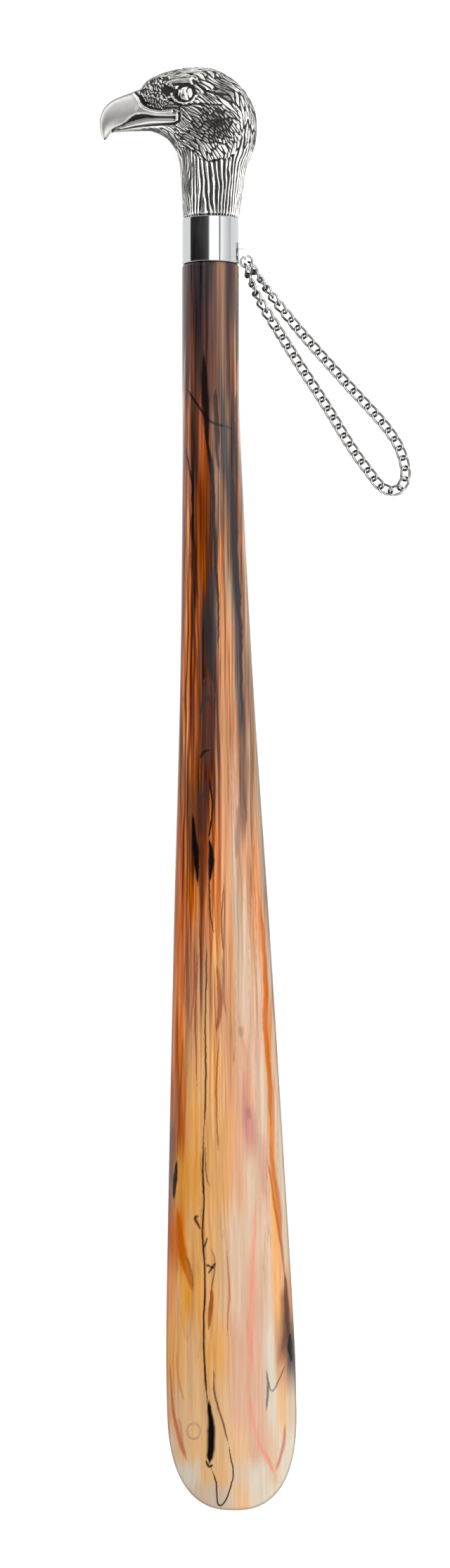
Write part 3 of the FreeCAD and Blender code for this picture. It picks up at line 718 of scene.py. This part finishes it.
# Veins and streaks in the horn: colour, strength, half width at the start, middle and end, and the path.
VEINS = [
    ("black", 0.95, (0.3, 1.5, 0.4), [(-2.6, 164), (-2.2, 150), (-1.2, 127)]),
    ("black", 0.9, (0.35, 0.4, 0.35), [(-8.9, 150), (-3.8, 142), (0.1, 137.5), (8.1, 135)]),
    ("orange", 0.75, (0.1, 0.25, 0.1), [(10.2, 162), (10.4, 156), (10.3, 150)]),
    ("black", 0.9, (0.25, 0.4, 0.2), [(-9.6, 128), (-7.9, 119), (-6.6, 113), (-7.1, 108), (-6.2, 105.5)]),
    ("black", 0.85, (0.3, 0.5, 0.2), [(-6.6, 104), (-7.1, 98), (-6.4, 90)]),
    ("black", 0.7, (0.2, 0.25, 0.3), [(-4.9, 95), (-5.5, 85), (-4.5, 71.6), (-2.4, 70)]),
    ("umber", 0.85, (0.3, 0.4, 0.25), [(-7.1, 101), (-7.2, 83), (-6.6, 68), (-5.8, 53), (-6.4, 36),
        (-6.2, 5)]),
    ("black", 0.95, (0.9, 0.5, 0.3), [(-1.6, 132), (0.1, 123), (1.0, 110), (1.8, 87), (2.6, 77),
        (2.9, 61), (3.2, 49)]),
    ("ink", 0.8, (1.0, 2.4, 1.2), [(1.4, 83), (0.2, 73), (-0.5, 65), (0.6, 56), (-0.1, 48), (0.1, 42)]),
    ("umber", 0.75, (1.5, 2.4, 1.6), [(-0.4, 44), (-1.8, 32), (-1.2, 18), (-2.4, 4)]),
    ("umber", 0.6, (1.6, 1.9, 1.0), [(-2.4, 6), (-2.9, -8), (-2.6, -22)]),
    ("brown", 0.6, (0.8, 1.3, 0.6), [(-3.4, -14), (-2.9, -28), (-3.2, -46)]),
    ("ink", 0.7, (0.4, 0.7, 0.3), [(-4.2, 26), (-3.0, 31), (-1.0, 34), (0.8, 29)]),
    ("ink", 0.6, (0.3, 0.6, 0.3), [(-4.6, -8), (-3.0, -3), (-1.2, 0), (-0.6, 3)]),
    ("ink", 0.95, (1.1, 0.8, 0.3), [(8.1, 121), (9.0, 102), (9.4, 87), (10.7, 70), (11.3, 53), (11.7, 32),
        (11.7, 21)]),
    ("taupe", 0.7, (0.3, 0.5, 0.4), [(13.6, 67), (14.9, 53), (16.6, 36), (17.4, 11)]),
    ("amber", 0.3, (0.4, 0.5, 0.4), [(9.4, 36), (9.4, 11)]),
    ("black", 0.8, (0.8, 0.9, 0.3), [(1.8, 150), (2.2, 137), (3.1, 118)]),
    ("slate", 0.7, (0.9, 1.1, 0.3), [(5.6, 140), (5.6, 132), (5.6, 116)]),
    ("ink", 0.8, (0.5, 0.6, 0.3), [(9.8, 150), (9.8, 137), (9.8, 112)]),
    ("umber", 0.8, (0.25, 0.35, 0.25), [(-2.8, 39), (-1.6, 41), (0.1, 40.4), (1.0, 36), (2.4, 33)]),
    ("black", 0.8, (0.3, 0.5, 0.2), [(-4.1, 11), (-2.4, 13.4), (0.1, 14.3)]),
    ("black", 1.0, (0.2, 1.25, 0.2), [(-7.0, -9), (-6.2, -20), (-5.3, -28), (-4.7, -37)]),
    ("black", 1.0, (0.35, 0.3, 0.3), [(-0.1, 4), (0.5, -7.5), (-0.5, -20)]),
    ("black", 1.0, (0.3, 1.2, 0.25), [(-0.5, -19), (0.2, -27), (-0.4, -36)]),
    ("black", 1.0, (0.25, 0.22, 0.15), [(-0.5, -34), (-0.5, -45), (0.1, -50.5), (1.2, -55)]),
    ("russet", 0.8, (0.3, 1.0, 0.5), [(2.4, -66), (3.2, -75), (3.5, -83), (2.6, -89), (2.1, -92)]),
    ("umber", 0.6, (0.2, 0.3, 0.2), [(3.9, -62), (4.9, -69), (4.8, -79), (6.4, -88)]),
    ("black", 0.85, (0.2, 0.3, 0.35), [(-1.8, -58), (-1.6, -76), (-2.0, -92), (-1.8, -104), (-2.4, -128)]),
    ("russet", 0.8, (0.2, 0.4, 0.2), [(-10.5, -92), (-11.6, -118), (-12.8, -142)]),
    ("russet", 0.8, (0.2, 0.35, 0.2), [(-4.5, -60), (-5.6, -85), (-5.2, -112)]),
    ("russet", 0.8, (0.2, 0.35, 0.2), [(3.2, -94), (2.2, -114), (2.8, -138)]),
    ("brown", 0.85, (0.2, 0.3, 0.2), [(5.0, -36), (4.2, -48), (4.4, -62)]),
    ("brown", 0.6, (0.2, 0.3, 0.2), [(-6.6, -54), (-6.2, -71), (-7.1, -88), (-7.5, -96)]),
    ("mouse", 0.65, (0.6, 0.8, 0.3), [(10.0, -5), (10.2, -12), (10.0, -20), (9.8, -29)]),
    ("tan", 0.5, (0.2, 0.3, 0.2), [(9.8, -28), (10.7, -37), (13.4, -45)]),
    ("slate", 0.6, (0.3, 0.4, 0.2), [(12.3, 5), (12.8, -6), (13.4, -10), (13.2, -15)]),
    ("tan", 0.55, (0.2, 0.8, 0.9), [(9.8, -79), (11.3, -92), (13.6, -104), (14.4, -124)]),
    ("mouse", 0.5, (0.7, 0.9, 0.6), [(11.2, -90), (11.4, -94)]),
    ("mouse", 0.5, (0.8, 0.9, 0.6), [(14.2, -120), (14.5, -125)]),
    ("amber", 0.8, (0.4, 0.9, 0.7), [(18.7, -42), (19.9, -58), (20.8, -75), (20.4, -88), (22.0, -109),
        (22.5, -127)]),
    ("amber", 0.75, (0.7, 0.8, 0.3), [(22.6, -126), (23.4, -144), (25.3, -155), (27.6, -183)]),
    ("russet", 0.4, (0.4, 0.7, 0.4), [(-8.7, -30), (-8.7, -58), (-8.7, -88)]),
    ("black", 1.0, (0.28, 0.3, 0.32), [(-2.4, -126), (-3.0, -141), (-2.5, -155), (-3.0, -166),
        (-2.1, -184), (-2.5, -201), (-2.1, -220), (-1.3, -231), (-0.7, -236)]),
    ("ink", 0.8, (0.15, 0.2, 0.2), [(-2.1, -134), (-1.6, -146), (-0.5, -150)]),
    ("black", 0.9, (0.5, 0.5, 0.2), [(-4.4, -161), (-5.8, -162), (-3.5, -166.5)]),
    ("black", 0.85, (0.3, 0.3, 0.2), [(-2.4, -173), (-1.0, -169)]),
    ("black", 0.95, (0.4, 0.35, 0.4), [(-1.6, -179.4), (1.4, -180.8)]),
    ("black", 0.95, (0.3, 0.35, 0.3), [(1.8, -178.6), (-0.7, -182.7)]),
    ("ink", 0.75, (0.2, 0.25, 0.15), [(-1.6, -171.6), (1.2, -176), (1.4, -183), (-0.2, -192), (0.2, -201)]),
    ("amber", 0.8, (0.5, 1.7, 0.5), [(-12.6, -158), (-11.6, -170), (-9.2, -180), (-6.9, -190)]),
    ("brown", 0.7, (0.3, 0.3, 0.2), [(-9.5, -175), (-7.2, -183), (-6.7, -190)]),
    ("taupe", 0.7, (0.1, 0.2, 0.15), [(-14.1, -175), (-12.3, -192), (-10.0, -204), (-8.6, -207.7),
        (-7.2, -201), (-6.7, -192), (-4.6, -171)]),
    ("taupe", 0.6, (0.12, 0.18, 0.12), [(-6.6, -213), (-4.6, -214), (-2.9, -204)]),
    ("black", 1.0, (0.4, 1.45, 1.2), [(-0.8, -230), (0.0, -239), (0.1, -247.6), (-0.2, -254)]),
    ("black", 0.95, (0.3, 0.5, 0.4), [(-1.8, -252.8), (-0.5, -255.2), (1.0, -254.6)]),
    ("black", 1.0, (0.25, 0.25, 0.28), [(0.2, -256), (2.1, -261.5), (2.6, -269.3), (4.6, -269.3),
        (7.2, -264.3), (8.3, -257), (6.7, -246.7)]),
    ("brown", 0.9, (0.28, 0.4, 0.2), [(6.7, -247), (4.0, -236.5), (1.2, -227), (1.2, -218)]),
    ("black", 0.95, (0.25, 0.9, 0.4), [(-12.8, -140), (-13.4, -148), (-13.9, -155)]),
    ("umber", 0.4, (1.2, 1.5, 1.0), [(-15.0, -125), (-14.9, -136), (-14.9, -150)]),
    ("orange", 0.8, (0.2, 0.35, 0.2), [(-12.9, -212), (-12.1, -222), (-9.8, -231)]),
    ("amber", 0.8, (0.2, 0.45, 0.9), [(-15.5, -215), (-14.1, -234), (-11.8, -245), (-9.0, -253)]),
    ("amber", 0.5, (0.4, 0.5, 0.3), [(-12.3, -236), (-10.0, -249)]),
    ("pink", 0.7, (0.4, 0.9, 0.4), [(17.4, -150), (16.2, -173), (15.5, -192), (15.4, -210), (14.6, -229)]),
    ("pink", 0.7, (0.3, 0.6, 0.3), [(19.8, -128), (20.4, -143), (19.6, -158)]),
    ("pink", 0.8, (0.3, 0.7, 0.5), [(14.8, -228), (15.6, -236), (18.0, -246), (21.8, -253), (23.9, -259)]),
    ("slate", 0.8, (0.25, 0.45, 0.3), [(21.1, -219), (21.6, -225), (21.1, -234)]),
    ("slate", 0.8, (0.2, 0.25, 0.2), [(21.3, -221.6), (23.4, -227), (28.1, -217)]),
    ("brown", 0.6, (1.0, 2.0, 1.2), [(27.2, -186), (28.2, -201), (27.4, -211), (25.7, -219)]),
    ("amber", 0.85, (0.3, 0.5, 0.3), [(21.6, -140), (24.6, -161), (26.6, -173), (28.1, -185)]),
    ("umber", 0.85, (0.3, 1.0, 0.3), [(28.0, -182), (28.9, -197), (29.7, -210)]),
    ("ink", 0.5, (0.4, 1.0, 0.5), [(28.0, -196), (28.2, -205), (26.8, -214)]),
    ("black", 0.95, (0.35, 0.9, 0.4), [(29.9, -205), (29.8, -211), (30.6, -216)]),
    ("taupe", 0.45, (0.9, 1.1, 0.9), [(17.4, -127), (19.3, -141), (19.7, -155)]),
    ("amber", 0.8, (0.2, 0.4, 0.2), [(6.1, -174), (6.9, -190), (6.1, -206)]),
    ("russet", 0.85, (0.4, 0.9, 0.3), [(0.4, -188), (0.0, -196), (-0.7, -204)]),
    ("gold", 0.5, (0.8, 1.1, 0.7), [(8.0, -120), (7.2, -140), (5.8, -158)]),
    ("gold", 0.5, (0.8, 1.1, 0.7), [(-8.2, -112), (-7.4, -135), (-6.6, -158)]),
    ("amber", 0.7, (0.3, 0.6, 0.4), [(28.0, -238), (27.2, -248), (24.0, -258)]),
]
# The ring of a small bubble near the tip: its middle, radius and line width.
BUBBLE = (-6.4, -242.0)
BUBBLE_RADIUS = 2.5
BUBBLE_LINE = 0.22
# Strands among the fibres: colour, seed and strength.
STRANDS = [("brown", 71, 0.5), ("orange", 72, 0.55), ("umber", 73, 0.4)]
STRAND_WIDTH = 0.09
# Fine fibres: how many, and the y that none of them passes.
GRAIN_LINES = 360
GRAIN_END = -246.0
# What a fibre does to the colour under it: near black, brown, red-brown, orange or pinkish grey.
GRAIN_TONES = [(0.25, 0.2, 0.2), (0.45, 0.33, 0.28), (0.6, 0.35, 0.22), (0.85, 0.6, 0.38), (0.75, 0.68, 0.66)]


def linear(rgb):
    """A colour of 0 to 255 as linear light."""
    c = np.array(rgb) / 255.0
    return np.where(c <= 0.04045, c / 12.92, ((c + 0.055) / 1.055) ** 2.4)


def vein_mask(x, y, widths, path, soft):
    """1 on a vein's middle line, falling to 0 past its edge; widths are halves, at start, middle and end."""
    path = through(path, 5 * len(path)).tolist()
    shares = np.full(x.shape, 0.5)
    best = np.full(x.shape, 1e9)
    lengths = [math.dist(a, b) for a, b in zip(path, path[1:])]
    total = sum(lengths)
    before = 0.0
    for (x0, y0), (x1, y1), length in zip(path, path[1:], lengths):
        dx = x1 - x0
        dy = y1 - y0
        t = np.clip(((x - x0) * dx + (y - y0) * dy) / (length * length), 0, 1)
        share = (before + t * length) / total
        width = np.interp(share, (0, 0.5, 1), widths)
        width = width * (0.2 + 0.8 * rise(0.0, 0.12, share) * rise(1.0, 0.88, share))
        away = np.hypot(x - x0 - t * dx, y - y0 - t * dy) / width
        shares = np.where(away < best, share, shares)
        best = np.minimum(best, away)
        before += length
    if not soft:
        return rise(1.5, 0.6, best)
    return rise(1.8, 0.3, best) * rise(0.0, 0.2, shares) * rise(1.0, 0.8, shares)


def paint_horn(x, y, share):
    """Linear colour of the horn at each point; share runs from -1 at the left edge to 1 at the right."""
    ragged = 0.12 + 0.88 * rise(-190.0, -70.0, y)
    drift = noise(x / 5, y / 70, 61) * 0.05 + noise(x / 0.8, y / 40, 62) * 0.03 * ragged
    across = np.clip(share + drift, ACROSS[0], ACROSS[-1])
    down = y + ragged * (noise(x / 1.3, y / 90, 63) * 16 + noise(x / 0.6, y / 50, 64) * 10)
    levels = np.array([row[0] for row in PAINT], float)[::-1]
    table = np.array([[linear(PALETTE[c]) for c in row[1].split()] for row in PAINT])[::-1]
    i = np.clip(np.searchsorted(levels, down) - 1, 0, len(levels) - 2)
    t = rise(0.1, 0.9, np.clip((down - levels[i]) / (levels[i + 1] - levels[i]), 0, 1))[..., None]
    j = np.clip(np.searchsorted(ACROSS, across) - 1, 0, len(ACROSS) - 2)
    stops = np.array(ACROSS)
    s = rise(0.15, 0.85, (across - stops[j]) / (stops[j + 1] - stops[j]))[..., None]
    colour = ((table[i, j] * (1 - s) + table[i, j + 1] * s) * (1 - t)
              + (table[i + 1, j] * (1 - s) + table[i + 1, j + 1] * s) * t)
    # long fibres, lighter and darker, with some dark and some amber strands among them
    fibre = noise(x / 0.9, y / 45, 65) * 0.5 + noise(x / 0.42, y / 22, 66) * 0.5
    shadow_side = rise(0.75, 0.2, colour.mean(-1))
    depth = 0.03 + (0.07 + (0.3 + 0.75 * rise(-30.0, 60.0, y)) * shadow_side) * ragged
    colour = colour * np.maximum(1 + depth * fibre, 0.15)[..., None]
    warm = ragged * noise(x / 1.3, y / 60, 67)
    colour = colour * (1 + warm[..., None] * np.array([0.05, -0.04, -0.16]))
    for name, seed, most in STRANDS:
        ripple = noise(x / 1.5, y / 70, seed) + 0.25 * noise(x / 0.5, y / 25, seed + 9)
        line = 1 - np.abs(ripple) / STRAND_WIDTH
        strand = most * np.clip(line, 0, 1) * rise(0.1, 0.6, noise(x / 4, y / 35, seed + 20))
        strand = (strand * rise(-240.0, -120.0, y) * (1 - 0.6 * rise(140.0, 180.0, y)))[..., None]
        colour = colour * (1 - strand) + linear(PALETTE[name]) * strand
    return colour


def draw_veins(colour, x, y):
    """The veins and the bubble, drawn over the horn's colours."""
    wobble = noise(x / 4, y / 6, 68) * 0.25 + noise(x / 2, y / 1.3, 69) * 0.1
    for name, strength, widths, path in VEINS:
        span_x = [p[0] for p in path]
        span_y = [p[1] for p in path]
        reach = 2 + 1.6 * max(widths)
        near = ((x > min(span_x) - reach) & (x < max(span_x) + reach)
                & (y > min(span_y) - reach) & (y < max(span_y) + reach))
        if not near.any():
            continue
        mask = strength * vein_mask(x[near] + wobble[near], y[near], widths, path, strength < 0.8)
        colour[near] = colour[near] * (1 - mask[:, None]) + linear(PALETTE[name]) * mask[:, None]
    ring = np.exp(-((np.hypot(x - BUBBLE[0], (y - BUBBLE[1]) * 0.85) - BUBBLE_RADIUS) / BUBBLE_LINE) ** 2)
    colour *= (1 - 0.45 * ring)[..., None]


def draw_grain(colour, x, y, middle, half_width):
    """Fine fibres that run along the horn, drawn over its colours; each row of points has one y."""
    for k in range(GRAIN_LINES):
        pick = [float(scatter(np.array(k), np.array(n), 81)) for n in range(6)]
        share = -0.97 + 1.94 * pick[0]
        dark_side = share < 0.05
        start = 190 - 400 * pick[1]
        stop = max(start - 25 - 110 * pick[2], GRAIN_END)
        width = (0.16 + 0.36 * pick[3]) if dark_side else (0.14 + 0.2 * pick[3])
        rows = np.nonzero((y < start) & (y > stop))[0]
        if not len(rows):
            continue
        ys = y[rows]
        wander = noise(ys / 37 + 13 * k, 0 * ys, 82) * 0.9
        wander = wander + noise(ys / 9 + 7 * k, 0 * ys, 83) * 0.2
        line = middle[rows] + share * half_width[rows] + wander
        fade = rise(stop, stop + 18, ys) * rise(start, start - 18, ys)
        strength = (0.95 if dark_side else 0.5) * (0.5 + 0.5 * pick[4])
        strength = strength * (1 - 0.75 * rise(-30, -130, ys))
        away = np.abs(x[rows] - line[:, None]) / width
        mask = strength[:, None] * fade[:, None] * rise(1.5, 0.5, away)
        tone = GRAIN_TONES[int(pick[5] * 3.99)] if dark_side else GRAIN_TONES[3 + int(pick[5] * 1.99)]
        part = colour[rows]
        colour[rows] = part * (1 - mask[..., None]) + part * np.array(tone) * mask[..., None]


def horn_stations(rows):
    """Each ring's y, how far the shoulder draws it in, and the share of its width that the tip leaves."""
    tip_rows = rows // 7
    round_rows = 10
    rounding = np.linspace(0, math.pi / 2, round_rows)[:-1]
    shoulder = ROD_END - SHOULDER * (1 - np.cos(rounding))
    body = np.linspace(ROD_END - SHOULDER, TIP_START, rows - tip_rows - round_rows)
    corner = np.linspace(0, math.pi / 2, tip_rows + 1)[1:]
    curve = 2 / TIP_POWER
    tip = TIP_START + (TIP_END - TIP_START) * np.sin(corner) ** curve
    inset = np.concatenate([SHOULDER * (1 - np.sin(rounding)), np.zeros(len(body) + len(tip))])
    width_left = np.ones(len(inset))
    width_left[-len(tip):] = np.maximum(np.cos(corner), 1e-4) ** curve
    return np.concatenate([shoulder, body, tip]), inset, width_left


def horn_points(y, inset, width_left, lean, cols):
    """Rings of points round the shaft and the blade, which is a plate bent to a circle's arc."""
    half_width = blend(HALF_WIDTH, y)
    sagitta = np.maximum(blend(SAGITTA, y), 0.001)
    power = blend(BLUNTNESS, y)
    half_angle = 2 * np.arctan(sagitta / half_width)
    radius = half_width / np.sin(half_angle)
    cut_angle = np.arcsin(np.clip(np.sin(half_angle) * width_left, 0, 1))
    edge = np.sqrt(np.clip(1 - (1 - np.clip((y - TIP_END) / EDGE_ROUND, 0, 1)) ** 2, 0, 1))
    half_thick = blend(HALF_THICK, y) * np.maximum(edge, 0.02)
    scale = 1 - inset / half_width
    top = int(cols * TOP_SHARE)
    turn = np.concatenate([np.linspace(0, math.pi, top, endpoint=False),
                           np.linspace(math.pi, 2 * math.pi, cols - top, endpoint=False)])
    turn = turn + TURN_SPREAD * np.sin(2 * turn)
    along = np.cos(turn)[None, :]
    thick = np.sign(np.sin(turn))[None, :] * np.sqrt(np.clip(1 - np.abs(along) ** power[:, None], 0, 1))
    angle = cut_angle[:, None] * along
    r = radius[:, None] + half_thick[:, None] * scale[:, None] * thick
    x = r * np.sin(angle) * np.where(y > LEAN_FROM, scale, 1.0)[:, None] + lean[:, None]
    z = r * np.cos(angle) - (radius * np.cos(half_angle))[:, None]
    z = z + (blend(END_HEIGHT, y) - AXIS_HEIGHT)[:, None]
    return np.dstack([x, np.repeat(y[:, None], cols, 1), z])


def make_horn():
    rows, cols = HORN_GRID
    y, inset, width_left = horn_stations(rows)
    lean = LEAN * np.maximum(0, LEAN_FROM - y)
    points = horn_points(y, inset, width_left, lean, cols)
    horn_obj = tube_mesh("horn_blade", points)
    half_width = blend(HALF_WIDTH, y)
    near = CAMERA_DISTANCE / (CAMERA_DISTANCE - points[:, :, 2])
    seen_x = points[:, :, 0] * near
    seen_y = points[:, :, 1] * near
    offset = points[:, :, 0] - lean[:, None]
    share = offset / np.maximum(np.abs(offset).max(1), half_width)[:, None]
    colour = paint_horn(seen_x, seen_y, share)
    draw_grain(colour, points[:, :, 0], y, lean, half_width)
    draw_veins(colour, seen_x, seen_y)
    # painted shade: a darker line follows the blade's outline
    share_of_full = np.abs(offset) / half_width[:, None]
    past = np.clip((TIP_START - y) / (TIP_START - TIP_END), 0, 1)[:, None]
    to_edge = (1 - (share_of_full ** TIP_POWER + past ** TIP_POWER) ** (1 / TIP_POWER)) * half_width[:, None]
    outline_shade = (0.5 * rise(0.9, 0.15, to_edge) * rise(150, 90, y)[:, None])[..., None]
    paint_colour(horn_obj, "paint", colour * (1 - outline_shade) + linear(PALETTE["slate"]) * outline_shade)
    paint_value(horn_obj, "clear", rise(-225.0, -266.0, seen_y))
    hand_over(horn_obj, "shaft_and_blade", HORN)


make_eagle_head()
make_horn()

# -------- the metal parts that keep their CAD shapes

for name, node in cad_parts.items():
    if name in ("eagle_head", "shaft_and_blade"):
        continue
    if name.startswith("chain_link") or name == "jump_ring":
        chosen = CHAIN
    elif name == "threaded_stud":
        chosen = STEEL
    else:
        chosen = CHROME
    node.data.materials.clear()
    node.data.materials.append(chosen)

# -------- the studio

FLOOR_HALF = 3.0
FLOOR_DROP = 0.0004
floor_mesh = bpy.data.meshes.new("floor")
floor_mesh.from_pydata(
    [(x * FLOOR_HALF, y * FLOOR_HALF, -FLOOR_DROP) for x, y in ((-1, -1), (1, -1), (1, 1), (-1, 1))],
    [], [(0, 1, 2, 3)])
floor_mesh.materials.append(make_material("white_paper", floor_paper))
floor = bpy.data.objects.new("floor", floor_mesh)
bpy.context.scene.collection.objects.link(floor)


def add_light(name, place, size, power):
    """A soft rectangular light, aimed at the origin, that isn't seen in reflections."""
    data = bpy.data.lights.new(name, "AREA")
    data.shape = "RECTANGLE"
    data.size = size[0]
    data.size_y = size[1]
    data.energy = power
    light = bpy.data.objects.new(name, data)
    light.location = place
    light.rotation_mode = "QUATERNION"
    light.rotation_quaternion = (-Vector(place)).to_track_quat("-Z", "Y")
    light.visible_glossy = False
    bpy.context.scene.collection.objects.link(light)


add_light("fill_left", (-1.1, 0.1, 1.2), (1.0, 1.6), 8.0)
add_light("fill_right", (1.1, 0.0, 1.2), (1.0, 1.6), 5.0)

# The room, as a polished tube along y would reflect it: grey by the angle round the y axis, in degrees from
# straight up, where right of the object is positive.
BANDS = [(-180, 0.9), (-90, 0.9), (-87, 0.015), (-40, 0.04), (-24, 0.07), (-14, 0.13), (-8, 0.2), (-2, 2.4),
         (33, 2.4), (36, 0.3), (39, 0.4), (43, 2.1), (62, 1.5), (90, 0.95), (110, 0.9), (180, 0.9)]
world = bpy.data.worlds.new("studio")
bpy.context.scene.world = world
room = Nodes(world)
coords = room.add("TexCoord")
axes = room.add("SeparateXYZ")
room.fill(axes, Vector=coords.outputs["Generated"])
heading = room.math("ARCTAN2", axes.outputs["X"], axes.outputs["Z"])
turned = room.math("ADD", room.math("DIVIDE", heading, 2 * math.pi), 0.5)
ramp = room.add("ValToRGB")
elements = ramp.color_ramp.elements
elements.remove(elements[1])
for degrees, level in BANDS:
    position = degrees / 360 + 0.5
    element = elements.new(position) if position > 0 else elements[0]
    element.color = (level, level, level, 1.0)
room.fill(ramp, Fac=turned)
# the dark card stands behind the collar only, so the head and the tip's end see a paler room
ends = room.math("MAXIMUM", room.span(axes.outputs["Y"], 0.17, 0.192, 0.0, 0.7),
                 room.span(axes.outputs["Y"], -0.5, -0.3, 0.7, 0.0))
shade = room.mix(ends, ramp.outputs["Color"], (0.8, 0.8, 0.8))
background = room.add("Background")
room.fill(background, Color=shade)
room.fill(room.add("OutputWorld"), Surface=background.outputs[0])

# -------- the camera, which looks straight down

FIELD_HEIGHT = 589.4
SENSOR = 36.0
CAMERA_PLACE = (5.42, 1.3, CAMERA_DISTANCE)
camera_data = bpy.data.cameras.new("camera")
camera_data.sensor_width = SENSOR
camera_data.lens = SENSOR * CAMERA_DISTANCE / FIELD_HEIGHT
camera_data.clip_start = 0.05
camera_data.clip_end = 20.0
camera = bpy.data.objects.new("camera", camera_data)
camera.location = AXIS + Vector(CAMERA_PLACE) * MM
bpy.context.scene.collection.objects.link(camera)
bpy.context.scene.camera = camera
bpy.context.scene.view_settings.view_transform = "Standard"
